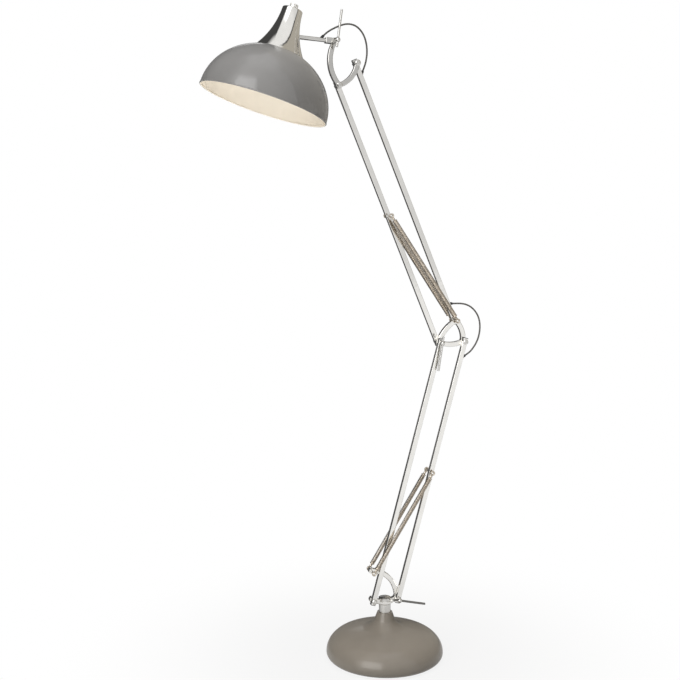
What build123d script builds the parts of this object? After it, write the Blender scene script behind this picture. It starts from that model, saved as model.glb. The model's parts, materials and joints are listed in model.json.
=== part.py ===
"""Spring-balanced floor lamp with two parallelogram arms, in millimetres.

+Z is up and the origin is at the middle of the underside of the base.  The arms lie in the
XZ plane: the elbow leans toward +X and the shade hangs out toward -X.  Y runs across the
arms, with -Y as the near side, where the clamp levers are.
"""

import os
from math import acos, atan2, cos, degrees, hypot, pi, radians, sin, sqrt, tan

from build123d import *

os.makedirs("parts", exist_ok=True)

# ---------------------------------------------------------------- driving dimensions
# clearances
RUN_FIT = 0.05          # radial gap of a bore on the pin that turns in it
SEAT_FIT = 0.05         # gap round a piece that is pushed into another
FACE_GAP = 0.1          # gap between faces that slide over each other

# arms
ROD_PITCH = 680.0       # from pivot to pivot, on all four rods
LOWER_SPACING = 65.0    # between the pivots of the lower pair of rods
UPPER_SPACING = 70.0    # between the pivots of the upper pair
ROD_SIDE = 12.0         # square tube
ROD_WALL = 1.0
ROD_CORNER = 1.2
ROD_OVERHANG = 9.0      # tube beyond its pivot
PLUG_LENGTH = 22.0      # of an end plug inside the tube
PLUG_CAP = 1.5
LOWER_LEAN = 14.77      # of the lower rods from upright, toward +X
UPPER_LEAN = -22.65     # of the upper rods from upright, toward -X
CORNER_RISE = 49.6      # of the line between the upper pair's pivots, above level

# brackets
PIVOT_OUT = 34.0        # of the left foot pivot from the post's axis, toward -X
PIVOT_RISE = 8.9        # of both foot pivots above the middle of the swivel ring
BAR = 12.0              # side of the bent bars of all brackets
BAR_CORNER = 2.0
EYE_RADIUS = 8.0
WASHER_THICK = 1.0
WASHER_RADIUS = 7.0

# pins, bolts and nuts
PIN_RADIUS = 3.0
PIN_TIP = 1.0           # length of the cone at a pin's end
HEAD_RADIUS = 6.5
HEAD_THICK = 5.0
NUT_RADIUS = 5.8
NUT_THICK = 5.0
NUT_DOME = 3.0
SHANK_SHORT = 0.5       # of a shank's end from the inside of its nut's dome
SOCKET_RADIUS = 2.6
SOCKET_DEPTH = 2.5

# clamp screws and their levers
BALL_RADIUS = 6.0
BALL_STANDOFF = 9.0     # from the face it clamps to the middle of the ball
HEAD_BALL_STANDOFF = 17.5
COLLAR_RADIUS = 4.5
LEVER_RADIUS = 2.75
LEVER_LENGTH = 70.5     # from the middle of the ball
LEVER_TAIL = 17.0       # beyond the ball, from its middle
BASE_LEVER_LEAN = 103.0
ELBOW_LEVER_LEAN = 188.5
HEAD_LEVER_LEAN = 8.0

# base
BASE_RADIUS = 150.0
PAD_THICK = 1.5
PAD_INSET = 3.0         # of the pad's edge inside the cover's foot
BASE_EDGE = 13.0        # radius of the rolled foot edge
SHOULDER_IN = 9.0
SHOULDER_HEIGHT = 40.0
CROWN_IN = 34.0
CROWN_HEIGHT = 59.0
NECK_FOOT_RADIUS = 58.0
NECK_FOOT_HEIGHT = 75.5
NECK_WAIST_RADIUS = 26.5
NECK_WAIST_HEIGHT = 97.0
NECK_TOP_RADIUS = 19.2
NECK_TOP_HEIGHT = 117.0
COVER_WALL = 2.0
COVER_LIP = 4.0         # of the rim turned in under the cover
WEIGHT_CLEAR = 8.0      # of the weight's edge inside the cover's foot
WEIGHT_THICK = 24.0
WEIGHT_EDGE = 4.0
SPACER_RADIUS = 12.0
POCKET_RADIUS = 20.0    # round the nut under the weight
POCKET_DEPTH = 12.0
FOOT_NUT_RADIUS = 9.5
FOOT_NUT_THICK = 8.0
FOOT_WASHER_RADIUS = 14.0
FOOT_WASHER_THICK = 2.0
GLAND_RADIUS = 5.0
GLAND_FLANGE_RADIUS = 7.5
GLAND_FLANGE = 2.5
GLAND_HEIGHT = 15.0     # above the cover's foot
GLAND_REACH = 6.0       # beyond the cover
GLAND_INSIDE = 8.0

# post and swivel
POST_RADIUS = 15.0
POST_LENGTH = 22.5
POST_CHAMFER = 0.8
SPIGOT_RADIUS = 9.5
RING_THICK = 8.0
RING_EDGE = 1.0
RING_BESIDE_CAP = 0.6   # of the ring's edge beyond the cap
LUG_INSIDE_CAP = 3.0    # of the lugs' roots inside the cap's edge
CAP_RADIUS = 16.0
CAP_THICK = 7.0
CAP_DOME = 4.0
CAP_STEM_RADIUS = 4.0
CAP_STEM_LENGTH = 18.0
STUD_RADIUS = 5.0
ARCH_BULGE = 20.0       # of the spring arch from the straight line between its ends
ARCH_OUT = 3.4          # of the arch's end from the left foot pivot, toward -X
ARCH_RISE = 76.5
SPRING_EYE_RADIUS = 7.0

# elbow frame and head bracket, bulge of each bent bar from the straight line
FRAME_LEFT_BULGE = 6.5
FRAME_RIGHT_BULGE = 6.5
FRAME_FOOT_BULGE = 7.0
HEAD_BACK_BULGE = 17.0
HEAD_FRONT_BULGE = 10.5
HEAD_PIVOT_OUT = 9.8    # of the head pivot from the upper left rod's top pivot, toward -X
HEAD_PIVOT_RISE = 102.0
TONGUE_THICK = 6.0
TONGUE_REACH = 20.0     # of the thinned end round the head pivot

# springs
LOWER_SPRING_REACH = 337.0   # from the foot pivot to the spring studs, along the rod
UPPER_SPRING_REACH = 343.5   # from the elbow pivot to the spring pin, along the rod
SPRING_SPREAD = 22.0         # of each spring from the middle of its pair
SPRING_OFFSET = 6.0          # of a pair's middle toward its rods' layer
SPRING_RADIUS = 5.0          # of the wire's centreline
SPRING_WIRE = 2.0            # diameter
SPRING_CURLS = 24
SPRING_LEAD = 7.0            # of the wire's run from the plug into its first curl
SPRING_PLUG_EDGE = 0.2       # of the plug beyond the wire
SPRING_PLUG_THICK = 3.0
SPRING_PLUG_REACH = 17.0     # from the pin to the plug's face
HOOK_THICK = 3.0
HOOK_RADIUS = 6.2
HOOK_SHANK = 5.0

# head arm and clamp fork
ARM_RADIUS = 5.0
ARM_BORE = 3.8
ARM_RISE = 3.8          # of the arm above level, toward the shade, in degrees
FORK_REACH = 24.0       # from the head pivot to the tube
FORK_SLOT_REACH = 16.0
FORK_WIDE = 17.0        # across, along Y
FORK_HIGH = 13.0
FORK_EYE_RADIUS = 7.5
FORK_EDGE = 1.5
FORK_SPIGOT = 4.0
ARM_IN_HUB = 5.0        # of the arm's end short of the shade's axis

# shade, measured up its own axis from the middle of the rim
SHADE_RADIUS = 155.0
SHADE_RISE = 137.0      # of the bowl's ellipse
SHADE_WALL = 1.5
SHADE_TILT = 18.25      # of the axis from upright, its top toward +X
RIM_OUT = 174.7         # of the rim's middle from the head pivot, toward -X
RIM_DROP = 151.0        # of the rim's middle below the head pivot
LIP_RADIUS = 1.8        # rolled edge
GALLERY_FOOT_RADIUS = 59.0
GALLERY_WAIST_RADIUS = 36.5
GALLERY_WAIST_HEIGHT = 169.0
GALLERY_TOP_RADIUS = 24.5
GALLERY_TOP_HEIGHT = 229.0
GALLERY_WALL = 1.8      # straight out from the axis
GALLERY_EDGE = 3.0
HUB_RADIUS = 13.0
HUB_LENGTH = 26.0
HOLDER_RADIUS = 20.0
HOLDER_LENGTH = 50.0
HOLDER_SOCKET_RADIUS = 14.5
HOLDER_SOCKET_DEPTH = 26.0
RING_NUT_RADIUS = 27.0
RING_NUT_THICK = 7.0
RING_NUT_DROP = 2.2     # of the ring nut's top below the bowl's inner crown
BULB_RADIUS = 27.0
BULB_CAP_RADIUS = 13.5
BULB_CAP_LENGTH = 24.0
BULB_DROP = 76.0        # from the holder's mouth to the bulb's tip
SWITCH_RADIUS = 9.0
SWITCH_LENGTH = 26.0
SWITCH_STEM_RADIUS = 3.0
KNOB_RADIUS = 10.0
KNOB_HEIGHT = 11.0
KNOB_FLUTES = 18
KNOB_FLUTE_RADIUS = 0.9

# cables
CABLE_RADIUS = 2.1
GROMMET_RADIUS = 3.3
GROMMET_FLANGE_RADIUS = 4.8
GROMMET_FLANGE = 1.2
GROMMET_NOSE = 6.5
GROMMET_ROOT = 3.0      # of the nose inside the wall
ROUND_SHARE = 0.45      # of the shorter run that a corner of a cable's route takes
LOWER_GROMMET_REACH = 38.0   # below the elbow's right pivot
ELBOW_GROMMET_REACH = 43.0   # above the elbow's top pivot
HEAD_GROMMET_REACH = 27.0    # below the head's right pivot
ARM_GROMMET_REACH = 33.0     # from the head pivot, along the head arm
LOWER_NOSE_LEAN = 60.0       # of each grommet's nose from upright, toward +X
ELBOW_NOSE_LEAN = 90.0
HEAD_NOSE_LEAN = 22.0
ARM_NOSE_LEAN = 45.0

# ---------------------------------------------------------------- places worked out


def point_along(start, lean, distance):
    """Point (x, z) at distance from start, lean degrees from upright toward +X."""
    return (start[0] + distance * sin(radians(lean)), start[1] + distance * cos(radians(lean)))


def meeting(start, lean, other, other_lean):
    """Distance from start, along lean, to the line through other along other_lean."""
    ahead = point_along((0, 0), lean, 1)
    beside = point_along((0, 0), other_lean, 1)
    gap = (other[0] - start[0], other[1] - start[1])
    return (gap[0] * beside[1] - gap[1] * beside[0]) / (ahead[0] * beside[1] - ahead[1] * beside[0])


NECK_TOP = PAD_THICK + NECK_TOP_HEIGHT
POST_TOP = NECK_TOP + POST_LENGTH
RING_LOW = POST_TOP + FACE_GAP
CAP_LOW = RING_LOW + RING_THICK + FACE_GAP
PIVOT_HEIGHT = RING_LOW + RING_THICK / 2 + PIVOT_RISE
FOOT_LEFT = (-PIVOT_OUT, PIVOT_HEIGHT)
FOOT_RIGHT = (LOWER_SPACING - PIVOT_OUT, PIVOT_HEIGHT)
ARCH_END = (-PIVOT_OUT - ARCH_OUT, PIVOT_HEIGHT + ARCH_RISE)
ELBOW_LEFT = point_along(FOOT_LEFT, LOWER_LEAN, ROD_PITCH)
ELBOW_RIGHT = point_along(FOOT_RIGHT, LOWER_LEAN, ROD_PITCH)
ELBOW_TOP = point_along(ELBOW_LEFT, 90 - CORNER_RISE, UPPER_SPACING)
HEAD_LEFT = point_along(ELBOW_LEFT, UPPER_LEAN, ROD_PITCH)
HEAD_RIGHT = point_along(ELBOW_TOP, UPPER_LEAN, ROD_PITCH)
HEAD_PIVOT = (HEAD_LEFT[0] - HEAD_PIVOT_OUT, HEAD_LEFT[1] + HEAD_PIVOT_RISE)
RIM_CENTRE = (HEAD_PIVOT[0] - RIM_OUT, HEAD_PIVOT[1] - RIM_DROP)
LOWER_SPRING_TOP = point_along(FOOT_RIGHT, LOWER_LEAN, LOWER_SPRING_REACH)
UPPER_SPRING_TOP = point_along(ELBOW_LEFT, UPPER_LEAN, UPPER_SPRING_REACH)

# layers across the arms: the brackets are in the middle, the lower rods nearer, the upper behind
BAR_FACE = BAR / 2
ROD_FACE = BAR_FACE + WASHER_THICK + FACE_GAP
ROD_LAYER = ROD_FACE + ROD_SIDE / 2
OUTER_FACE = ROD_FACE + ROD_SIDE + FACE_GAP
LOWER_SPRINGS = (-SPRING_OFFSET - SPRING_SPREAD, -SPRING_OFFSET + SPRING_SPREAD)
UPPER_SPRINGS = (SPRING_OFFSET - SPRING_SPREAD, SPRING_OFFSET + SPRING_SPREAD)
HOOK_SIDE = HOOK_THICK / 2 + FACE_GAP
FORK_FACE = FORK_WIDE / 2
PIN_BORE = PIN_RADIUS + RUN_FIT
THROUGH = 80.0                       # of a cut that goes through everything across

# widths on the base and the post
RING_RADIUS = CAP_RADIUS + RING_BESIDE_CAP
LUG_ROOT = CAP_RADIUS - LUG_INSIDE_CAP
COVER_FOOT_RADIUS = BASE_RADIUS - BASE_EDGE
COVER_LIP_RADIUS = COVER_FOOT_RADIUS - COVER_LIP
COVER_STATIONS = (
    (BASE_RADIUS, BASE_EDGE),
    (BASE_RADIUS - SHOULDER_IN, SHOULDER_HEIGHT),
    (BASE_RADIUS - CROWN_IN, CROWN_HEIGHT),
    (NECK_FOOT_RADIUS, NECK_FOOT_HEIGHT),
    (NECK_WAIST_RADIUS, NECK_WAIST_HEIGHT),
)                                    # radius and height above the foot
WEIGHT_TOP = PAD_THICK + WEIGHT_THICK

# the head: the arm runs from its pivot to the shade's axis
ARM_LEAN = -90 + ARM_RISE
ARM_LENGTH = meeting(HEAD_PIVOT, ARM_LEAN, RIM_CENTRE, SHADE_TILT)
HUB_CENTRE = point_along(HEAD_PIVOT, ARM_LEAN, ARM_LENGTH)
HUB_HEIGHT = meeting(RIM_CENTRE, SHADE_TILT, HEAD_PIVOT, ARM_LEAN)
HUB_LOW = HUB_HEIGHT - HUB_LENGTH / 2
HUB_TOP = HUB_HEIGHT + HUB_LENGTH / 2
HOLDER_MOUTH = HUB_LOW - HOLDER_LENGTH
GALLERY_FOOT_HEIGHT = SHADE_RISE * sqrt(1 - (GALLERY_FOOT_RADIUS / SHADE_RADIUS) ** 2)

CENTRED_UP = (Align.CENTER, Align.CENTER, Align.MIN)


def rod_plane(foot, lean, depth, distance=0.0):
    """Plane square to a rod, at a distance up it; its x runs across the arms, along +Y."""
    x, z = point_along(foot, lean, distance)
    up = point_along((0, 0), lean, 1)
    return Plane(origin=(x, depth, z), x_dir=(0, 1, 0), z_dir=(up[0], 0, up[1]))


def shade_plane(height):
    """Plane square to the shade's axis, at a height up it."""
    x, z = point_along(RIM_CENTRE, SHADE_TILT, height)
    up = point_along((0, 0), SHADE_TILT, 1)
    return Plane(origin=(x, 0, z), x_dir=(up[1], 0, -up[0]), z_dir=(up[0], 0, up[1]))


SHADE_SIDE = Plane(
    origin=shade_plane(0).origin, x_dir=shade_plane(0).x_dir, z_dir=(0, -1, 0)
)                                    # x is the radius and y the height up the shade's axis
SHADE_AXIS = Axis(shade_plane(0).origin, shade_plane(0).z_dir)
ARM_SIDE = Plane(
    origin=(HEAD_PIVOT[0], 0, HEAD_PIVOT[1]),
    x_dir=(sin(radians(ARM_LEAN)), 0, cos(radians(ARM_LEAN))),
    z_dir=(0, 1, 0),
)                                    # x runs from the head pivot toward the shade, y upward


def save(piece, label):
    """Label the finished piece and write it."""
    piece.part.label = label
    export_step(piece.part, f"parts/{label}.step")


def across(point, depth, outward=-1):
    """Location at (x, z) and Y = depth, whose Z axis points to -Y, or to +Y if outward is 1."""
    return Location((point[0], depth, point[1]), (-90 * outward, 0, 0))


def add_pin(point, back, front, radius, mode=Mode.ADD):
    """Cylinder across the arms from Y = back to Y = front, in the open part."""
    with Locations(across(point, back)):
        Cylinder(radius, back - front, align=CENTRED_UP, mode=mode)


def cut_bores(points, radius=PIN_BORE):
    """Bores right through across the arms."""
    for point in points:
        add_pin(point, THROUGH, -THROUGH, radius, mode=Mode.SUBTRACT)


def add_eye(point, radius=EYE_RADIUS, thick=BAR):
    """Round end of a bracket's bar."""
    add_pin(point, thick / 2, -thick / 2, radius)


def add_tip(point, face, outward):
    """Short cone on the end of a pin."""
    with Locations(across(point, face, outward)):
        Cone(PIN_RADIUS, PIN_RADIUS * 0.6, PIN_TIP, align=CENTRED_UP)


def add_head(point, face, outward):
    """Round head with a chamfered rim and a hexagon socket."""
    drum = HEAD_THICK * 0.7
    with Locations(across(point, face, outward)):
        Cylinder(HEAD_RADIUS, drum, align=CENTRED_UP)
    with Locations(across(point, face + outward * drum, outward)):
        Cone(HEAD_RADIUS, HEAD_RADIUS * 0.72, HEAD_THICK - drum, align=CENTRED_UP)
    with Locations(across(point, face + outward * HEAD_THICK, -outward)):
        Cylinder(SOCKET_RADIUS, SOCKET_DEPTH, align=CENTRED_UP, mode=Mode.SUBTRACT)


def add_bolt(point, head_face, nut_face, outward):
    """Bolt with its head at head_face and its shank ending inside the nut beyond nut_face."""
    end = nut_face - outward * (NUT_THICK - SHANK_SHORT)
    add_pin(point, max(head_face, end), min(head_face, end), PIN_RADIUS)
    add_head(point, head_face, outward)


def add_cap_nut(point, face, outward):
    """Hexagon nut with a domed end, bored for the bolt that ends inside it."""
    with BuildSketch(Plane(across(point, face, outward))) as hexagon:
        RegularPolygon(NUT_RADIUS, 6)
    extrude(to_extrude=hexagon.sketch, amount=NUT_THICK)
    with Locations(across(point, face, outward)):
        Cylinder(PIN_BORE, NUT_THICK, align=CENTRED_UP, mode=Mode.SUBTRACT)
    with Locations(across(point, face + outward * NUT_THICK, outward)):
        Cone(NUT_RADIUS * 0.84, NUT_RADIUS * 0.35, NUT_DOME, align=CENTRED_UP)


def add_washer(point, face, outward):
    """Flat washer on a bracket's face."""
    with Locations(across(point, face, outward)):
        Cylinder(WASHER_RADIUS, WASHER_THICK, align=CENTRED_UP)
        Cylinder(PIN_BORE, WASHER_THICK, align=CENTRED_UP, mode=Mode.SUBTRACT)


def add_bent_bar(start, end, bulge):
    """Bar along an arc that bulges to the left of the way from start to end."""
    chord = hypot(end[0] - start[0], end[1] - start[1])
    left = ((start[1] - end[1]) / chord, (end[0] - start[0]) / chord)
    crest = (
        (start[0] + end[0]) / 2 + bulge * left[0],
        (start[1] + end[1]) / 2 + bulge * left[1],
    )
    with BuildLine() as path:
        ThreePointArc((start[0], 0, start[1]), (crest[0], 0, crest[1]), (end[0], 0, end[1]))
    with BuildSketch(Plane(path.line @ 0, x_dir=(0, 1, 0), z_dir=path.line % 0)) as section:
        RectangleRounded(BAR, BAR, BAR_CORNER)
    sweep(sections=section.sketch, path=path.line)


# ---------------------------------------------------------------- base

def add_cover_side(inset):
    """Chain of tangent arcs from the cover's foot to its neck, moved inward by inset."""
    here = Vector(COVER_FOOT_RADIUS, PAD_THICK)
    heading = Vector(1, 0)
    start = here + Vector(0, inset)
    for radius, height in COVER_STATIONS:
        there = Vector(radius, PAD_THICK + height)
        chord = (there - here).normalized()
        onward = chord * (2 * heading.dot(chord)) - heading
        end = there + Vector(-onward.Y, onward.X) * inset
        TangentArc(start, end, tangent=heading)
        here, heading, start = there, onward, end
    return start


with BuildPart() as base_cover:
    for inset, mode in ((0, Mode.ADD), (COVER_WALL, Mode.SUBTRACT)):
        foot = [(COVER_FOOT_RADIUS, PAD_THICK + inset)]
        if inset:
            foot = [(COVER_LIP_RADIUS, PAD_THICK), (COVER_LIP_RADIUS, PAD_THICK + inset)] + foot
        with BuildSketch(Plane.XZ):
            with BuildLine():
                flare_end = add_cover_side(inset)
                Polyline(
                    flare_end, (NECK_TOP_RADIUS - inset, NECK_TOP - inset), (0, NECK_TOP - inset),
                    (0, PAD_THICK), *foot,
                )
            make_face()
        revolve(axis=Axis.Z, mode=mode)
    with Locations((0, 0, NECK_TOP)):
        Cylinder(STUD_RADIUS + SEAT_FIT, 2 * COVER_WALL + 1, mode=Mode.SUBTRACT)
    with Locations(across((0, PAD_THICK + GLAND_HEIGHT), BASE_RADIUS)):
        Cylinder(GLAND_RADIUS + SEAT_FIT, 4 * COVER_WALL, mode=Mode.SUBTRACT)
save(base_cover, "base_cover")

with BuildPart() as base_weight:
    with Locations((0, 0, PAD_THICK)):
        Cylinder(COVER_FOOT_RADIUS - WEIGHT_CLEAR, WEIGHT_THICK, align=CENTRED_UP)
    fillet(base_weight.edges().group_by(Axis.Z)[-1], WEIGHT_EDGE)
    with Locations((0, 0, PAD_THICK)):
        Cylinder(STUD_RADIUS + SEAT_FIT, WEIGHT_THICK, align=CENTRED_UP, mode=Mode.SUBTRACT)
        Cylinder(POCKET_RADIUS, POCKET_DEPTH, align=CENTRED_UP, mode=Mode.SUBTRACT)
save(base_weight, "base_weight")

with BuildPart() as base_pad:
    Cylinder(COVER_FOOT_RADIUS - PAD_INSET, PAD_THICK, align=CENTRED_UP)
save(base_pad, "base_pad")

with BuildPart() as base_spacer:
    with Locations((0, 0, WEIGHT_TOP)):
        Cylinder(SPACER_RADIUS, NECK_TOP - COVER_WALL - WEIGHT_TOP, align=CENTRED_UP)
        Cylinder(
            STUD_RADIUS + SEAT_FIT, NECK_TOP - COVER_WALL - WEIGHT_TOP,
            align=CENTRED_UP, mode=Mode.SUBTRACT,
        )
save(base_spacer, "base_spacer")

POCKET_TOP = PAD_THICK + POCKET_DEPTH
with BuildPart() as base_foot_nut:
    with Locations((0, 0, POCKET_TOP - FOOT_WASHER_THICK)):
        Cylinder(FOOT_WASHER_RADIUS, FOOT_WASHER_THICK, align=CENTRED_UP)
    with BuildSketch(Plane.XY.offset(POCKET_TOP - FOOT_WASHER_THICK - FOOT_NUT_THICK)):
        RegularPolygon(FOOT_NUT_RADIUS, 6)
    extrude(amount=FOOT_NUT_THICK)
    with Locations((0, 0, PAD_THICK)):
        Cylinder(STUD_RADIUS + SEAT_FIT, POCKET_DEPTH, align=CENTRED_UP, mode=Mode.SUBTRACT)
save(base_foot_nut, "base_foot_nut")

GLAND_START = BASE_RADIUS - GLAND_INSIDE
with BuildPart() as mains_gland:
    with Locations(across((0, PAD_THICK + GLAND_HEIGHT), GLAND_START, 1)):
        Cylinder(GLAND_RADIUS, GLAND_INSIDE + GLAND_REACH, align=CENTRED_UP)
    with Locations(across((0, PAD_THICK + GLAND_HEIGHT), BASE_RADIUS + FACE_GAP, 1)):
        Cylinder(GLAND_FLANGE_RADIUS, GLAND_FLANGE, align=CENTRED_UP)
    with Locations(across((0, PAD_THICK + GLAND_HEIGHT), GLAND_START, 1)):
        Cylinder(CABLE_RADIUS, GLAND_INSIDE + GLAND_REACH, align=CENTRED_UP, mode=Mode.SUBTRACT)
save(mains_gland, "mains_gland")

with BuildPart() as post:
    with Locations((0, 0, NECK_TOP)):
        Cylinder(POST_RADIUS, POST_LENGTH, align=CENTRED_UP)
    chamfer(post.edges().filter_by(GeomType.CIRCLE), POST_CHAMFER)
    with Locations((0, 0, POST_TOP)):
        Cylinder(SPIGOT_RADIUS, CAP_LOW - POST_TOP, align=CENTRED_UP)
    with Locations((0, 0, PAD_THICK + FOOT_WASHER_THICK)):
        Cylinder(STUD_RADIUS, NECK_TOP - PAD_THICK - FOOT_WASHER_THICK, align=CENTRED_UP)
    with Locations((0, 0, CAP_LOW)):
        Cylinder(
            CAP_STEM_RADIUS + SEAT_FIT, CAP_STEM_LENGTH,
            align=(Align.CENTER, Align.CENTER, Align.MAX), mode=Mode.SUBTRACT,
        )
save(post, "post")

STEM_FOOT = CAP_LOW - CAP_STEM_LENGTH + SEAT_FIT
with BuildPart() as post_cap:
    with BuildSketch(Plane.XZ):
        with BuildLine():
            Polyline(
                (0, STEM_FOOT), (CAP_STEM_RADIUS, STEM_FOOT), (CAP_STEM_RADIUS, CAP_LOW),
                (CAP_RADIUS, CAP_LOW), (CAP_RADIUS, CAP_LOW + CAP_THICK),
            )
            TangentArc(
                (0, CAP_LOW + CAP_THICK + CAP_DOME), (CAP_RADIUS, CAP_LOW + CAP_THICK),
                tangent=(1, 0),
            )
            Line((0, CAP_LOW + CAP_THICK + CAP_DOME), (0, STEM_FOOT))
        make_face()
    revolve(axis=Axis.Z)
save(post_cap, "post_cap")

# ---------------------------------------------------------------- swivel bracket

with BuildPart() as swivel_bracket:
    with Locations((0, 0, RING_LOW)):
        Cylinder(RING_RADIUS, RING_THICK, align=CENTRED_UP)
    chamfer(swivel_bracket.edges().filter_by(GeomType.CIRCLE), RING_EDGE)
    for eye, side_sign in ((FOOT_LEFT, -1), (FOOT_RIGHT, 1)):
        root = (side_sign * LUG_ROOT, RING_LOW + RING_THICK / 2)
        with BuildLine(mode=Mode.PRIVATE) as lug_line:
            Line((root[0], 0, root[1]), (eye[0], 0, eye[1]))
        with BuildSketch(
            Plane(lug_line.line @ 0, x_dir=(0, 1, 0), z_dir=lug_line.line % 0), mode=Mode.PRIVATE
        ) as lug_section:
            RectangleRounded(BAR, BAR, BAR_CORNER)
        sweep(sections=lug_section.sketch, path=lug_line.line)
        add_eye(eye)
    with Locations((0, 0, RING_LOW + RING_THICK)):
        Cylinder(CAP_RADIUS + 2 * FACE_GAP, CAP_THICK + CAP_DOME, align=CENTRED_UP, mode=Mode.SUBTRACT)
    with Locations((0, 0, RING_LOW)):
        Cylinder(
            POST_RADIUS + 2 * FACE_GAP, BAR,
            align=(Align.CENTER, Align.CENTER, Align.MAX), mode=Mode.SUBTRACT,
        )
    add_bent_bar(ARCH_END, FOOT_RIGHT, ARCH_BULGE)
    add_eye(ARCH_END, SPRING_EYE_RADIUS)
    with Locations((0, 0, RING_LOW)):
        Cylinder(SPIGOT_RADIUS + RUN_FIT, RING_THICK, align=CENTRED_UP, mode=Mode.SUBTRACT)
    cut_bores((FOOT_LEFT, FOOT_RIGHT, ARCH_END))
save(swivel_bracket, "swivel_bracket")

with BuildPart() as base_pivot_washers:
    add_washer(FOOT_LEFT, -BAR_FACE, -1)
    add_washer(FOOT_RIGHT, -BAR_FACE, -1)
save(base_pivot_washers, "base_pivot_washers")

with BuildPart() as base_pivot_fasteners:
    add_bolt(FOOT_LEFT, -OUTER_FACE, BAR_FACE, -1)
    add_cap_nut(FOOT_LEFT, BAR_FACE, 1)
    add_cap_nut(FOOT_RIGHT, BAR_FACE, 1)
save(base_pivot_fasteners, "base_pivot_fasteners")


def make_spring_pin(label, point, pair, spans):
    """Pin that carries a pair of springs; spans are its lengths along Y, back to front."""
    with BuildPart() as spring_pin:
        for back, front in spans:
            add_pin(point, back, front, PIN_RADIUS)
        add_tip(point, pair[0] - HOOK_SIDE, -1)
        add_tip(point, pair[1] + HOOK_SIDE, 1)
    save(spring_pin, label)


LOWER_PIN_SPAN = (LOWER_SPRINGS[1] + HOOK_SIDE, LOWER_SPRINGS[0] - HOOK_SIDE)
UPPER_PIN_SPAN = (UPPER_SPRINGS[1] + HOOK_SIDE, UPPER_SPRINGS[0] - HOOK_SIDE)
make_spring_pin("base_spring_pin", ARCH_END, LOWER_SPRINGS, [LOWER_PIN_SPAN])
make_spring_pin("elbow_spring_pin", ELBOW_TOP, UPPER_SPRINGS, [UPPER_PIN_SPAN])
make_spring_pin("upper_rod_spring_pin", UPPER_SPRING_TOP, UPPER_SPRINGS, [UPPER_PIN_SPAN])
make_spring_pin(
    "lower_rod_spring_studs", LOWER_SPRING_TOP, LOWER_SPRINGS,
    [(LOWER_PIN_SPAN[0], -ROD_FACE), (-ROD_FACE - ROD_SIDE, LOWER_PIN_SPAN[1])],
)


# ---------------------------------------------------------------- clamp screws and levers


def make_clamp(name, pivot, face, nut_face, lever_lean, standoff=BALL_STANDOFF):
    """Screw with a ball head, and the bar through it that turns it."""
    ball = face + standoff
    with BuildPart() as screw:
        add_pin(pivot, nut_face + NUT_THICK - SHANK_SHORT, -face, PIN_RADIUS)
        add_pin(pivot, -face, -ball, COLLAR_RADIUS)
        with Locations(across(pivot, -ball)):
            Sphere(BALL_RADIUS)
        with Locations(rod_plane(pivot, lever_lean, -ball, -BALL_RADIUS).location):
            Cylinder(
                LEVER_RADIUS + SEAT_FIT, 2 * BALL_RADIUS, align=CENTRED_UP, mode=Mode.SUBTRACT
            )
    save(screw, f"{name}_clamp_screw")
    with BuildPart() as lever:
        with Locations(rod_plane(pivot, lever_lean, -ball, -LEVER_TAIL).location):
            Cylinder(LEVER_RADIUS, LEVER_TAIL + LEVER_LENGTH, align=CENTRED_UP)
        fillet(lever.edges().filter_by(GeomType.CIRCLE), LEVER_RADIUS * 0.4)
    save(lever, f"{name}_clamp_lever")


make_clamp("base", FOOT_RIGHT, OUTER_FACE, BAR_FACE, BASE_LEVER_LEAN)
make_clamp("elbow", ELBOW_LEFT, OUTER_FACE, OUTER_FACE, ELBOW_LEVER_LEAN)
make_clamp(
    "head", HEAD_PIVOT, FORK_FACE + FACE_GAP, FORK_FACE + FACE_GAP, HEAD_LEVER_LEAN,
    HEAD_BALL_STANDOFF,
)

# ---------------------------------------------------------------- rods


def rod_side_point(top, lean, reach):
    """Middle of a rod's +X face, at a reach below its top pivot or, if negative, above."""
    return point_along(point_along(top, lean, -reach), lean + 90, ROD_SIDE / 2)


LOWER_GROMMET = rod_side_point(ELBOW_RIGHT, LOWER_LEAN, LOWER_GROMMET_REACH)
ELBOW_GROMMET = rod_side_point(ELBOW_TOP, UPPER_LEAN, -ELBOW_GROMMET_REACH)
HEAD_GROMMET = rod_side_point(HEAD_RIGHT, UPPER_LEAN, HEAD_GROMMET_REACH)
ARM_GROMMET = point_along(
    point_along(HEAD_PIVOT, ARM_LEAN, ARM_GROMMET_REACH), ARM_LEAN + 90, ARM_RADIUS
)


def add_grommet(face_point, depth, nose_lean, flange_lean=None):
    """Slanted nose through the wall, with a flange on the face if flange_lean is given."""
    with Locations(rod_plane(face_point, nose_lean, depth, -GROMMET_ROOT).location):
        Cylinder(GROMMET_RADIUS, GROMMET_ROOT + GROMMET_NOSE, align=CENTRED_UP)
    if flange_lean is not None:
        with Locations(rod_plane(face_point, flange_lean, depth).location):
            Cylinder(GROMMET_FLANGE_RADIUS, GROMMET_FLANGE, align=CENTRED_UP)


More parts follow.
